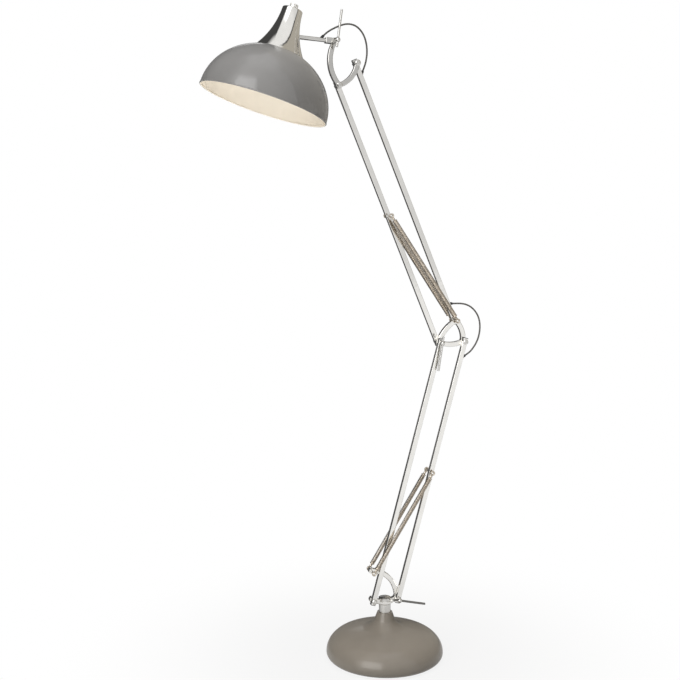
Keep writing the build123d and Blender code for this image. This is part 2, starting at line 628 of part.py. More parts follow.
def make_rod(name, foot, lean, depth, grommets=(), cross_pins=()):
    """Square tube with bores for its two pivots, and the plugs that close its ends."""
    top = point_along(foot, lean, ROD_PITCH)
    low_end = -ROD_OVERHANG
    high_end = ROD_PITCH + ROD_OVERHANG
    inner = ROD_SIDE - 2 * ROD_WALL
    with BuildPart() as rod:
        with BuildSketch(rod_plane(foot, lean, depth, low_end)):
            RectangleRounded(ROD_SIDE, ROD_SIDE, ROD_CORNER)
            Rectangle(inner, inner, mode=Mode.SUBTRACT)
        extrude(amount=high_end - low_end)
        cut_bores((foot, top, *cross_pins))
        for face_point, nose_lean in grommets:
            with Locations(rod_plane(face_point, nose_lean, depth, -GROMMET_ROOT).location):
                Cylinder(
                    GROMMET_RADIUS + SEAT_FIT, GROMMET_ROOT + GROMMET_NOSE,
                    align=CENTRED_UP, mode=Mode.SUBTRACT,
                )
    save(rod, name)
    with BuildPart() as plugs:
        for end, inward in ((low_end, 1), (high_end, -1)):
            with BuildSketch(rod_plane(foot, lean, depth, end)):
                Rectangle(inner - 2 * SEAT_FIT, inner - 2 * SEAT_FIT)
            extrude(amount=inward * PLUG_LENGTH)
            with BuildSketch(rod_plane(foot, lean, depth, end)):
                RectangleRounded(ROD_SIDE, ROD_SIDE, ROD_CORNER)
            extrude(amount=-inward * PLUG_CAP)
        cut_bores((foot, top))
    save(plugs, f"{name}_plugs")


make_rod("lower_left_rod", FOOT_LEFT, LOWER_LEAN, -ROD_LAYER)
make_rod("lower_right_rod", FOOT_RIGHT, LOWER_LEAN, -ROD_LAYER, [(LOWER_GROMMET, LOWER_NOSE_LEAN)])
make_rod("upper_left_rod", ELBOW_LEFT, UPPER_LEAN, ROD_LAYER, (), (UPPER_SPRING_TOP,))
make_rod(
    "upper_right_rod", ELBOW_TOP, UPPER_LEAN, ROD_LAYER,
    [(ELBOW_GROMMET, ELBOW_NOSE_LEAN), (HEAD_GROMMET, HEAD_NOSE_LEAN)],
)

with BuildPart() as lower_rod_grommet:
    add_grommet(LOWER_GROMMET, -ROD_LAYER, LOWER_NOSE_LEAN, LOWER_LEAN + 90)
save(lower_rod_grommet, "lower_rod_grommet")

with BuildPart() as upper_rod_grommets:
    add_grommet(ELBOW_GROMMET, ROD_LAYER, ELBOW_NOSE_LEAN, UPPER_LEAN + 90)
    add_grommet(HEAD_GROMMET, ROD_LAYER, HEAD_NOSE_LEAN, UPPER_LEAN + 90)
save(upper_rod_grommets, "upper_rod_grommets")


def make_inner_cable(label, foot, lean, depth, low, high):
    """Cable along the inside of a rod's +X wall, from low to high up the rod."""
    beside = ROD_SIDE / 2 - ROD_WALL - CABLE_RADIUS - FACE_GAP
    with BuildPart() as inner_cable:
        with BuildSketch(rod_plane(foot, lean, depth, low)):
            with Locations((0, -beside)):
                Circle(CABLE_RADIUS)
        extrude(amount=high - low)
    save(inner_cable, label)


CABLE_STOP = PLUG_LENGTH + GROMMET_NOSE       # of an inner run from a pivot or a grommet
make_inner_cable(
    "lower_rod_cable", FOOT_RIGHT, LOWER_LEAN, -ROD_LAYER,
    CABLE_STOP, ROD_PITCH - LOWER_GROMMET_REACH - 2 * GROMMET_NOSE,
)
make_inner_cable(
    "upper_rod_cable", ELBOW_TOP, UPPER_LEAN, ROD_LAYER,
    ELBOW_GROMMET_REACH + 2 * GROMMET_NOSE, ROD_PITCH - HEAD_GROMMET_REACH - 2 * GROMMET_NOSE,
)

# ---------------------------------------------------------------- elbow frame and head bracket

with BuildPart() as elbow_frame:
    add_bent_bar(ELBOW_LEFT, ELBOW_TOP, FRAME_LEFT_BULGE)
    add_bent_bar(ELBOW_TOP, ELBOW_RIGHT, FRAME_RIGHT_BULGE)
    add_bent_bar(ELBOW_RIGHT, ELBOW_LEFT, FRAME_FOOT_BULGE)
    for eye in (ELBOW_LEFT, ELBOW_TOP, ELBOW_RIGHT):
        add_eye(eye)
    cut_bores((ELBOW_LEFT, ELBOW_TOP, ELBOW_RIGHT))
save(elbow_frame, "elbow_frame")

with BuildPart() as elbow_washers:
    add_washer(ELBOW_LEFT, -BAR_FACE, -1)
    add_washer(ELBOW_RIGHT, -BAR_FACE, -1)
    add_washer(ELBOW_LEFT, BAR_FACE, 1)
    add_washer(ELBOW_TOP, BAR_FACE, 1)
save(elbow_washers, "elbow_washers")

with BuildPart() as elbow_pivot_fasteners:
    add_bolt(ELBOW_RIGHT, -OUTER_FACE, BAR_FACE, -1)
    add_cap_nut(ELBOW_RIGHT, BAR_FACE, 1)
    add_cap_nut(ELBOW_LEFT, OUTER_FACE, 1)
save(elbow_pivot_fasteners, "elbow_pivot_fasteners")

with BuildPart() as head_bracket:
    add_bent_bar(HEAD_LEFT, HEAD_PIVOT, HEAD_BACK_BULGE)
    for face in (TONGUE_THICK / 2, -TONGUE_THICK / 2 - BAR):
        add_pin(HEAD_PIVOT, face + BAR, face, TONGUE_REACH, mode=Mode.SUBTRACT)
    add_eye(HEAD_PIVOT, FORK_EYE_RADIUS, TONGUE_THICK)
    add_bent_bar(HEAD_RIGHT, HEAD_LEFT, HEAD_FRONT_BULGE)
    add_eye(HEAD_LEFT)
    add_eye(HEAD_RIGHT)
    cut_bores((HEAD_LEFT, HEAD_RIGHT, HEAD_PIVOT))
save(head_bracket, "head_bracket")

with BuildPart() as head_washers:
    add_washer(HEAD_LEFT, BAR_FACE, 1)
    add_washer(HEAD_RIGHT, BAR_FACE, 1)
save(head_washers, "head_washers")

with BuildPart() as head_pivot_fasteners:
    for pivot in (HEAD_LEFT, HEAD_RIGHT):
        add_bolt(pivot, -BAR_FACE, OUTER_FACE, -1)
        add_cap_nut(pivot, OUTER_FACE, 1)
    add_cap_nut(HEAD_PIVOT, FORK_FACE + FACE_GAP, 1)
save(head_pivot_fasteners, "head_pivot_fasteners")

# ---------------------------------------------------------------- springs


def turn_point(angle, height):
    """Point of the spring wire's centreline on its cylinder."""
    return Vector(SPRING_RADIUS * cos(angle), SPRING_RADIUS * sin(angle), height)


def turn_heading(angle, rise):
    """Direction of a winding that climbs by rise per radian."""
    return Vector(-SPRING_RADIUS * sin(angle), SPRING_RADIUS * cos(angle), rise).normalized()


def add_biarc(start, start_heading, end, end_heading):
    """Two arcs that meet tangentially, from start to end with the headings given."""
    way = end - start
    both = start_heading + end_heading
    spread = 2 * (1 - start_heading.dot(end_heading))
    reach = (sqrt(way.dot(both) ** 2 + spread * way.dot(way)) - way.dot(both)) / spread
    joint = (start + start_heading * reach + end - end_heading * reach) * 0.5
    first = TangentArc(start, joint, tangent=start_heading)
    second = TangentArc(joint, end, tangent=first % 1)
    return min(first.radius, second.radius)


def make_spring(label, low, high, depth):
    """Tension spring between two pins: a wound wire between two plugs with flat hooks."""
    length = hypot(high[0] - low[0], high[1] - low[1])
    lean = degrees(atan2(high[0] - low[0], high[1] - low[1]))
    coil = length - 2 * SPRING_PLUG_REACH
    lead = SPRING_WIRE + SPRING_LEAD
    rise = (coil - 2 * lead) / (2 * pi * SPRING_CURLS)
    up = Vector(0, 0, 1)
    angle = pi / 2
    height = lead
    with BuildLine() as winding:
        Line(turn_point(0, 0), turn_point(0, SPRING_WIRE))
        least = add_biarc(
            turn_point(0, SPRING_WIRE), up, turn_point(angle, height), turn_heading(angle, rise)
        )
        for _ in range(2 * SPRING_CURLS):
            onward = (angle + pi, height + pi * rise)
            least = min(least, add_biarc(
                turn_point(angle, height), turn_heading(angle, rise),
                turn_point(*onward), turn_heading(onward[0], rise),
            ))
            angle, height = onward
        end = turn_point(angle + pi / 2, coil - SPRING_WIRE)
        least = min(least, add_biarc(
            turn_point(angle, height), turn_heading(angle, rise), end, up
        ))
        Line(end, end + up * SPRING_WIRE)
    with BuildPart() as wire:
        with BuildSketch(Plane(winding.wire() @ 0, z_dir=(0, 0, 1))):
            Circle(SPRING_WIRE / 2)
        sweep(path=winding.wire())
    with BuildPart() as spring:
        with Locations(rod_plane(low, lean, depth, SPRING_PLUG_REACH).location):
            add(wire.part)
        for pin, reach, inward in ((low, 0, 1), (high, length, -1)):
            plug = reach + inward * SPRING_PLUG_REACH
            near = min(plug, plug - inward * SPRING_PLUG_THICK)
            with Locations(rod_plane(low, lean, depth, near).location):
                Cylinder(SPRING_RADIUS + SPRING_WIRE / 2 + SPRING_PLUG_EDGE, SPRING_PLUG_THICK,
                         align=CENTRED_UP)
            with Locations(rod_plane(low, lean, depth, min(reach, plug - inward)).location):
                Box(HOOK_THICK, HOOK_SHANK, SPRING_PLUG_REACH - 1, align=CENTRED_UP)
            add_pin(pin, depth + HOOK_THICK / 2, depth - HOOK_THICK / 2, HOOK_RADIUS)
        cut_bores((low, high))
    swept = pi * (SPRING_WIRE / 2) ** 2 * winding.wire().length
    print(
        label, "least radius", round(least, 2), "gap between curls",
        round(2 * pi * rise * SPRING_RADIUS / hypot(SPRING_RADIUS, rise) - SPRING_WIRE, 2),
        "volume over section by length", round(wire.part.volume / swept, 4),
    )
    save(spring, label)


for side_name, side in (("near", 0), ("far", 1)):
    make_spring(f"lower_spring_{side_name}", ARCH_END, LOWER_SPRING_TOP, LOWER_SPRINGS[side])
    make_spring(f"upper_spring_{side_name}", ELBOW_TOP, UPPER_SPRING_TOP, UPPER_SPRINGS[side])

# ---------------------------------------------------------------- head arm and fork


def arm_plane(distance, below=0.0):
    """Plane square to the head arm, at a distance from the head pivot."""
    start = point_along(HEAD_PIVOT, ARM_LEAN - 90, below)
    return rod_plane(start, ARM_LEAN, 0, distance)


with BuildPart() as head_fork:
    with BuildSketch(ARM_SIDE.offset(-FORK_FACE)):
        with Locations((FORK_REACH / 2, 0)):
            Rectangle(FORK_REACH, FORK_HIGH)
    extrude(amount=FORK_WIDE)
    fillet(head_fork.faces().sort_by(Axis.X)[0].edges(), FORK_EDGE)
    add_eye(HEAD_PIVOT, FORK_EYE_RADIUS, FORK_WIDE)
    with BuildSketch(ARM_SIDE.offset(-TONGUE_THICK / 2 - FACE_GAP)):
        with Locations((FORK_SLOT_REACH / 2 - FORK_EYE_RADIUS, 0)):
            Rectangle(FORK_SLOT_REACH + 2 * FORK_EYE_RADIUS, 2 * FORK_HIGH)
    extrude(amount=TONGUE_THICK + 2 * FACE_GAP, mode=Mode.SUBTRACT)
    with Locations(arm_plane(FORK_REACH).location):
        Cylinder(ARM_BORE - 2 * SEAT_FIT, FORK_SPIGOT, align=CENTRED_UP)
    cut_bores([HEAD_PIVOT])
save(head_fork, "head_fork")

ARM_TUBE = ARM_LENGTH - ARM_IN_HUB - FORK_REACH
with BuildPart() as head_arm:
    with Locations(arm_plane(FORK_REACH).location):
        Cylinder(ARM_RADIUS, ARM_TUBE, align=CENTRED_UP)
        Cylinder(ARM_BORE, ARM_TUBE, align=CENTRED_UP, mode=Mode.SUBTRACT)
    with Locations(rod_plane(ARM_GROMMET, ARM_NOSE_LEAN, 0, -GROMMET_ROOT).location):
        Cylinder(
            GROMMET_RADIUS + SEAT_FIT, GROMMET_ROOT + GROMMET_NOSE,
            align=CENTRED_UP, mode=Mode.SUBTRACT,
        )
save(head_arm, "head_arm")

with BuildPart() as head_grommet:
    add_grommet(ARM_GROMMET, 0, ARM_NOSE_LEAN)
save(head_grommet, "head_grommet")

ARM_CABLE_START = ARM_GROMMET_REACH + 2 * GROMMET_NOSE
with BuildPart() as head_arm_cable:
    with Locations(arm_plane(ARM_CABLE_START, ARM_BORE - CABLE_RADIUS - FACE_GAP).location):
        Cylinder(CABLE_RADIUS, ARM_LENGTH - ARM_IN_HUB - ARM_CABLE_START, align=CENTRED_UP)
save(head_arm_cable, "head_arm_cable")

# ---------------------------------------------------------------- shade and its fittings

with BuildPart() as head_hub:
    with Locations(shade_plane(HUB_LOW).location):
        Cylinder(HUB_RADIUS, HUB_LENGTH, align=CENTRED_UP)
    with Locations(arm_plane(ARM_LENGTH - ARM_IN_HUB - 2 * HUB_RADIUS).location):
        Cylinder(ARM_RADIUS + SEAT_FIT, 2 * HUB_RADIUS, align=CENTRED_UP, mode=Mode.SUBTRACT)
save(head_hub, "head_hub")

with BuildPart() as lampholder:
    with Locations(shade_plane(HOLDER_MOUTH).location):
        Cylinder(HOLDER_RADIUS, HOLDER_LENGTH, align=CENTRED_UP)
        Cylinder(HOLDER_SOCKET_RADIUS, HOLDER_SOCKET_DEPTH, align=CENTRED_UP, mode=Mode.SUBTRACT)
save(lampholder, "lampholder")

with BuildPart() as shade:
    with BuildSketch(SHADE_SIDE):
        with BuildLine():
            outside = EllipticalCenterArc((0, 0), SHADE_RADIUS, SHADE_RISE, arc_size=90)
            inside = EllipticalCenterArc(
                (0, 0), SHADE_RADIUS - SHADE_WALL, SHADE_RISE - SHADE_WALL, arc_size=90
            )
            Line(outside @ 0, inside @ 0)
            Line(outside @ 1, inside @ 1)
        make_face()
        with Locations((SHADE_RADIUS - SHADE_WALL / 2, 0)):
            Circle(LIP_RADIUS)
    revolve(axis=SHADE_AXIS)
    with Locations(shade_plane(SHADE_RISE).location):
        Cylinder(HOLDER_RADIUS + SEAT_FIT, 4 * SHADE_WALL, mode=Mode.SUBTRACT)
save(shade, "shade")

with BuildPart() as shade_ring:
    with Locations(shade_plane(SHADE_RISE - SHADE_WALL - RING_NUT_DROP - RING_NUT_THICK).location):
        Cylinder(RING_NUT_RADIUS, RING_NUT_THICK, align=CENTRED_UP)
        Cylinder(HOLDER_RADIUS + SEAT_FIT, RING_NUT_THICK, align=CENTRED_UP, mode=Mode.SUBTRACT)
save(shade_ring, "shade_ring")

with BuildPart() as shade_cap:
    for inset, mode in ((0, Mode.ADD), (GALLERY_WALL, Mode.SUBTRACT)):
        with BuildSketch(SHADE_SIDE):
            with BuildLine():
                flank = ThreePointArc(
                    (GALLERY_FOOT_RADIUS - inset, GALLERY_FOOT_HEIGHT),
                    (GALLERY_WAIST_RADIUS - inset, GALLERY_WAIST_HEIGHT),
                    (GALLERY_TOP_RADIUS - inset, GALLERY_TOP_HEIGHT - inset),
                )
                brow = TangentArc(
                    flank @ 1,
                    (GALLERY_TOP_RADIUS - GALLERY_EDGE - inset,
                     GALLERY_TOP_HEIGHT + GALLERY_EDGE - inset),
                    tangent=flank % 1,
                )
                Polyline(
                    brow @ 1, (0, GALLERY_TOP_HEIGHT + GALLERY_EDGE - inset),
                    (0, GALLERY_FOOT_HEIGHT), flank @ 0,
                )
            make_face()
        revolve(axis=SHADE_AXIS, mode=mode)
    with BuildSketch(SHADE_SIDE):
        with BuildLine():
            seat = EllipticalCenterArc(
                (0, 0), SHADE_RADIUS + FACE_GAP, SHADE_RISE + FACE_GAP, arc_size=90
            )
            Polyline(seat @ 1, (0, 0), seat @ 0)
        make_face()
    revolve(axis=SHADE_AXIS, mode=Mode.SUBTRACT)
    with Locations(arm_plane(ARM_LENGTH - 2 * GALLERY_WAIST_RADIUS).location):
        Cylinder(
            ARM_RADIUS + 2 * FACE_GAP, 2 * GALLERY_WAIST_RADIUS - HUB_RADIUS,
            align=CENTRED_UP, mode=Mode.SUBTRACT,
        )
    with Locations(shade_plane(GALLERY_TOP_HEIGHT).location):
        Cylinder(SWITCH_STEM_RADIUS + FACE_GAP, 4 * GALLERY_EDGE, mode=Mode.SUBTRACT)
save(shade_cap, "shade_cap")

SWITCH_TOP = HUB_TOP + SWITCH_LENGTH
STEM_DEPTH = SWITCH_LENGTH / 2
with BuildPart() as switch_body:
    with Locations(shade_plane(HUB_TOP).location):
        Cylinder(SWITCH_RADIUS, SWITCH_LENGTH, align=CENTRED_UP)
    with Locations(shade_plane(SWITCH_TOP - STEM_DEPTH).location):
        Cylinder(SWITCH_STEM_RADIUS + RUN_FIT, STEM_DEPTH, align=CENTRED_UP, mode=Mode.SUBTRACT)
save(switch_body, "switch_body")

KNOB_LOW = GALLERY_TOP_HEIGHT + GALLERY_EDGE + 2 * FACE_GAP
STEM_LOW = SWITCH_TOP - STEM_DEPTH + SEAT_FIT
with BuildPart() as switch_knob:
    with Locations(shade_plane(KNOB_LOW).location):
        Cylinder(KNOB_RADIUS, KNOB_HEIGHT, align=CENTRED_UP)
        with PolarLocations(KNOB_RADIUS + KNOB_FLUTE_RADIUS / 3, KNOB_FLUTES):
            Cylinder(KNOB_FLUTE_RADIUS, KNOB_HEIGHT, align=CENTRED_UP, mode=Mode.SUBTRACT)
    with Locations(shade_plane(STEM_LOW).location):
        Cylinder(SWITCH_STEM_RADIUS, KNOB_LOW - STEM_LOW, align=CENTRED_UP)
save(switch_knob, "switch_knob")

BULB_CENTRE = HOLDER_MOUTH - BULB_DROP + BULB_RADIUS
BULB_NECK = HOLDER_MOUTH - BULB_CAP_LENGTH / 6
NECK_REACH = hypot(BULB_CAP_RADIUS, BULB_NECK - BULB_CENTRE)
GLASS_TURN = atan2(BULB_CAP_RADIUS, BULB_NECK - BULB_CENTRE) + acos(BULB_RADIUS / NECK_REACH)
GLASS_EDGE = (BULB_RADIUS * sin(GLASS_TURN), BULB_CENTRE + BULB_RADIUS * cos(GLASS_TURN))
with BuildPart() as bulb:
    with BuildSketch(SHADE_SIDE):
        with BuildLine():
            ThreePointArc(
                (0, BULB_CENTRE - BULB_RADIUS),
                (BULB_RADIUS * sin(radians(60)), BULB_CENTRE - BULB_RADIUS * cos(radians(60))),
                GLASS_EDGE,
            )
            Polyline(
                GLASS_EDGE, (BULB_CAP_RADIUS, BULB_NECK),
                (BULB_CAP_RADIUS, BULB_NECK + BULB_CAP_LENGTH), (0, BULB_NECK + BULB_CAP_LENGTH),
                (0, BULB_CENTRE - BULB_RADIUS),
            )
        make_face()
    revolve(axis=SHADE_AXIS)
save(bulb, "bulb")

# ---------------------------------------------------------------- cables in the open

# points (x, z) of the free runs, counted from the right-hand pivot of the elbow and of the head
ELBOW_RUN_UPPER = ((1.6, 95), (15.6, 91.5), (28.6, 83), (39, 70), (45.5, 53.5))
ELBOW_RUN_LOWER = ((46.5, 34), (43, 14), (35, -4), (23.5, -19))
HEAD_RUN_FRONT = ((-51.5, 82), (-27, 91.5), (-3.5, 89.5))
HEAD_RUN_REAR = ((14.5, 75), (25, 54), (28.5, 29), (26.5, 8.5))


def free_points(pivot, offsets):
    """Points (x, z) of a free run, from their offsets."""
    return [(pivot[0] + x, pivot[1] + z) for x, z in offsets]


def nose_points(face_point, nose_lean):
    """End of a grommet's nose, and a point straight ahead of it."""
    return [point_along(face_point, nose_lean, reach) for reach in (GROMMET_NOSE, 3 * GROMMET_NOSE)]


def make_cable_pair(labels, first, last, first_depth, last_depth):
    """Cable in two halves that meet halfway between the last point of first and the first of last."""
    count = len(first) + len(last)
    route = []
    for index, (x, z) in enumerate(first + last):
        share = min(max((index - 1) / (count - 3), 0), 1)
        route.append(Vector(x, first_depth + (last_depth - first_depth) * share, z))
    middle = (route[len(first) - 1] + route[len(first)]) * 0.5
    make_cable(labels[0], route[: len(first)] + [middle])
    make_cable(labels[1], [middle] + route[len(first):])


def make_cable(label, points):
    """Round cable along straight runs joined by tangent arcs."""
    radii = []
    for before, here, after in zip(points, points[1:], points[2:]):
        half_turn = radians((here - before).get_angle(after - here)) / 2
        shorter = min((here - before).length, (after - here).length)
        radii.append(ROUND_SHARE * shorter / tan(half_turn))
    with BuildLine() as route:
        FilletPolyline(*points, radius=radii)
    with BuildPart() as cable:
        with BuildSketch(Plane(route.wire() @ 0, z_dir=route.wire() % 0)):
            Circle(CABLE_RADIUS)
        sweep(path=route.wire())
    swept = pi * CABLE_RADIUS ** 2 * route.wire().length
    print(
        label, "radii", [round(radius, 1) for radius in radii],
        "length", round(route.wire().length, 1),
        "volume over section by length", round(cable.part.volume / swept, 4),
    )
    save(cable, label)


make_cable_pair(
    ("head_cable_front", "head_cable_rear"),
    nose_points(ARM_GROMMET, ARM_NOSE_LEAN) + free_points(HEAD_RIGHT, HEAD_RUN_FRONT),
    free_points(HEAD_RIGHT, HEAD_RUN_REAR) + nose_points(HEAD_GROMMET, HEAD_NOSE_LEAN)[::-1],
    0, ROD_LAYER,
)
make_cable_pair(
    ("elbow_cable_upper", "elbow_cable_lower"),
    nose_points(ELBOW_GROMMET, ELBOW_NOSE_LEAN) + free_points(ELBOW_RIGHT, ELBOW_RUN_UPPER),
    free_points(ELBOW_RIGHT, ELBOW_RUN_LOWER) + nose_points(LOWER_GROMMET, LOWER_NOSE_LEAN)[::-1],
    ROD_LAYER, -ROD_LAYER,
)
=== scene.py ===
"""Finishes, wound springs, cables and stage for the spring-balanced floor lamp."""

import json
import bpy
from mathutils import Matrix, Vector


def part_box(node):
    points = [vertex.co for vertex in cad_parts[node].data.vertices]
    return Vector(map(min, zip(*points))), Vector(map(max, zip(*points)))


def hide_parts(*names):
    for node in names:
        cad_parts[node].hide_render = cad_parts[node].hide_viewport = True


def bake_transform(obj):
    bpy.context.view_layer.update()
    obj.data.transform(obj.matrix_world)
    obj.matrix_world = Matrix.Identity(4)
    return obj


bl_info = {
    "name": "Spring-Balanced Floor Lamp",
    "version": (1, 0, 0),
    "blender": (4, 5, 0),
    "location": "3D View > Sidebar > Floor Lamp",
    "description": "Dresses the packed floor lamp and lights it",
    "category": "Object",
}

import bpy
import numpy as np
from mathutils import Vector

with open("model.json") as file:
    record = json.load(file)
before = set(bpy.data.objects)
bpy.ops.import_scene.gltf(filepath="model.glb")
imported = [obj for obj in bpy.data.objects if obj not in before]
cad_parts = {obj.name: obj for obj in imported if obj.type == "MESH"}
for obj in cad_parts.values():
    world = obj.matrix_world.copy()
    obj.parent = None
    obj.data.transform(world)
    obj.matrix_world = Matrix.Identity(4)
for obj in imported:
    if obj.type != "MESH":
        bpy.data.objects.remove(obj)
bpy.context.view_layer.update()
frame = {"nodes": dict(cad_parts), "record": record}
JOINTS = {joint["name"]: joint for joint in frame["record"]["behaviour"]["joints"]}

# the free cables, as (x, y, z) in metres from one grommet's nose to the other's
HEAD_FRONT_ROUTE = (
    (-0.16031, 0.0, 1.55286), (-0.15112, 0.0, 1.56205), (-0.12864, 0.00164, 1.57439),
    (-0.10414, 0.00327, 1.58389), (-0.08064, 0.00491, 1.58189), (-0.07164, 0.00573, 1.57464),
)
HEAD_REAR_ROUTE = (
    (-0.07164, 0.00573, 1.57464), (-0.06264, 0.00655, 1.56739), (-0.05214, 0.00819, 1.54639),
    (-0.04864, 0.00982, 1.52139), (-0.05064, 0.01146, 1.50089), (-0.0539, 0.0131, 1.48787),
    (-0.05877, 0.0131, 1.47581),
)
ELBOW_UPPER_ROUTE = (
    (0.18021, 0.0131, 0.90683), (0.19321, 0.0131, 0.90683), (0.20596, 0.01048, 0.90653),
    (0.21996, 0.00786, 0.90303), (0.23296, 0.00524, 0.89453), (0.24336, 0.00262, 0.88153),
    (0.24986, 0.0, 0.86503), (0.25036, -0.00131, 0.85528),
)
ELBOW_LOWER_ROUTE = (
    (0.25036, -0.00131, 0.85528), (0.25086, -0.00262, 0.84553), (0.24736, -0.00524, 0.82553),
    (0.23936, -0.00786, 0.80753), (0.22786, -0.01048, 0.79253), (0.21736, -0.0131, 0.78301),
    (0.2061, -0.0131, 0.77651),
)

# ---------------------------------------------------------------- settings


def length(name, default, description):
    """A length in metres that the panel shows."""
    return bpy.props.FloatProperty(
        name=name, description=description, default=default, min=0.0, precision=4,
        subtype="DISTANCE", unit="LENGTH",
    )


def portion(name, default, description):
    """A share from 0 to 1 that the panel shows."""
    return bpy.props.FloatProperty(
        name=name, description=description, default=default, min=0.0, max=1.0
    )


def colour(name, default, description):
    """A linear colour that the panel shows."""
    return bpy.props.FloatVectorProperty(
        name=name, description=description, default=default, size=3, min=0.0, max=1.0,
        subtype="COLOR",
    )


class LampSizes(bpy.types.PropertyGroup):
    """Sizes of the pieces made here."""

    spring_wire: length("Spring Wire", 0.0019, "Thickness of the springs' wire")
    spring_pitch: length("Spring Pitch", 0.00235, "Distance between two turns of a spring")
    spring_radius: length("Spring Radius", 0.0050, "From a spring's axis to the middle of its wire")
    spring_end: length("Spring End", 0.017, "From a spring's pin to its first turn")
    spring_bend: portion("Spring Bend", 0.25, "Part of a spring that bends as its arm moves")
    cable: length("Cable", 0.0042, "Thickness of the cables")
    shade_radius: length("Shade Radius", 0.155, "Radius of the shade at its rim")
    shade_rise: length("Shade Rise", 0.137, "Height of the shade's dome above its rim")
    shade_wall: length("Shade Wall", 0.0015, "Thickness of the shade")
    knob_foot: length("Knob Foot", 0.229, "Height of the knob's foot above the middle of the rim")
    bulb_neck: length("Bulb Neck", 0.1005, "Height of the bulb's screw cap above that middle")


class LampColours(bpy.types.PropertyGroup):
    """Colours of the finishes."""

    chrome: colour("Chrome", (0.90, 0.885, 0.85), "Bright plating on the rods and brackets")
    spring: colour("Springs", (0.62, 0.55, 0.46), "Wire of the springs")
    base: colour("Base", (0.290, 0.260, 0.222), "Enamel on the base")
    shade_outside: colour("Shade Outside", (0.250, 0.247, 0.245), "Enamel on the outside")
    shade_inside: colour("Shade Inside", (0.88, 0.82, 0.72), "Enamel on the inside")
    black: colour("Black Plastic", (0.018, 0.018, 0.018), "Grommets, plugs and switch")
    cable: colour("Cable", (0.10, 0.096, 0.09), "Sheath of the cables")


# ---------------------------------------------------------------- shader arithmetic


class Signal:
    """A number that a socket carries, for use in plain arithmetic."""

    def __init__(self, finish, socket):
        self.finish = finish
        self.socket = socket

    def combine(self, operation, *values):
        node = self.finish.node("ShaderNodeMath", {"operation": operation}, dict(enumerate(values)))
        return Signal(self.finish, node.outputs[0])

    def __add__(self, other):
        return self.combine("ADD", self, other)

    def __radd__(self, other):
        return self.combine("ADD", other, self)

    def __sub__(self, other):
        return self.combine("SUBTRACT", self, other)

    def __rsub__(self, other):
        return self.combine("SUBTRACT", other, self)

    def __mul__(self, other):
        return self.combine("MULTIPLY", self, other)

    def __rmul__(self, other):
        return self.combine("MULTIPLY", other, self)

    def __truediv__(self, other):
        return self.combine("DIVIDE", self, other)

    def __pow__(self, other):
        return self.combine("POWER", self, other)

    def __abs__(self):
        return self.combine("ABSOLUTE", self)

    def sine(self):
        return self.combine("SINE", self)

    def at_least(self, floor):
        return self.combine("MAXIMUM", self, floor)

    def step(self, low, high):
        """0 below low, 1 above high and smooth between."""
        node = self.finish.node(
            "ShaderNodeMapRange", {"interpolation_type": "SMOOTHSTEP"},
            {"Value": self, "From Min": low, "From Max": high},
        )
        return Signal(self.finish, node.outputs[0])


class Finish:
    """A material, or the world, while its nodes are put together."""

    def __init__(self, owner):
        self.owner = owner
        owner.use_nodes = True
        self.tree = owner.node_tree
        self.tree.nodes.clear()

    def node(self, kind, settings=None, values=None):
        """A node of that kind, with its settings and then the values or links of its sockets."""
        node = self.tree.nodes.new(kind)
        for name, value in (settings or {}).items():
            setattr(node, name, value)
        for name, value in (values or {}).items():
            socket = node.inputs[name]
            source = value.socket if isinstance(value, Signal) else value
            if isinstance(source, bpy.types.NodeSocket):
                self.tree.links.new(source, socket)
            else:
                socket.default_value = source
        return node

    def place(self, axis=None):
        """Object coordinates, or one of them as a signal."""
        here = self.node("ShaderNodeTexCoord").outputs["Object"]
        if axis is None:
            return here
        parts = self.node("ShaderNodeSeparateXYZ", values={"Vector": here})
        return Signal(self, parts.outputs[axis])

    def noise(self, scale, detail=2.0, roughness=0.5, stretch=(1.0, 1.0, 1.0)):
        """Smooth random signal from 0 to 1, with scale features to the metre."""
        spread = self.node(
            "ShaderNodeMapping", values={"Vector": self.place(), "Scale": stretch}
        ).outputs[0]
        node = self.node(
            "ShaderNodeTexNoise",
            values={"Vector": spread, "Scale": scale, "Detail": detail, "Roughness": roughness},
        )
        return Signal(self, node.outputs[0])

    def mix(self, factor, first, second):
        """Colour that goes from first to second as factor goes from 0 to 1."""
        node = self.node("ShaderNodeMix", {"data_type": "RGBA"}, {0: factor})
        for name, value in (("A_Color", first), ("B_Color", second)):
            socket = next(i for i in node.inputs if i.identifier == name)
            if isinstance(value, bpy.types.NodeSocket):
                self.tree.links.new(value, socket)
            else:
                socket.default_value = (*value, 1.0)
        return next(o for o in node.outputs if o.identifier == "Result_Color")

    def bump(self, height, distance, strength=1.0):
        """Surface normal disturbed by a signal, over a distance in metres."""
        node = self.node(
            "ShaderNodeBump", values={"Height": height, "Distance": distance, "Strength": strength}
        )
        return node.outputs[0]

    def principled(self, **values):
        """The closing shader; words in the names of its sockets are joined by underscores."""
        sockets = {name.replace("_", " "): value for name, value in values.items()}
        shader = self.node("ShaderNodeBsdfPrincipled", values=sockets)
        self.node("ShaderNodeOutputMaterial", values={"Surface": shader.outputs[0]})
        return self.owner


def new_finish(name):
    """An empty finish for a new material."""
    return Finish(bpy.data.materials.new(name))


def tinted(base, share):
    """A colour darkened or lightened by a share."""
    return tuple(min(channel * share, 1.0) for channel in base)


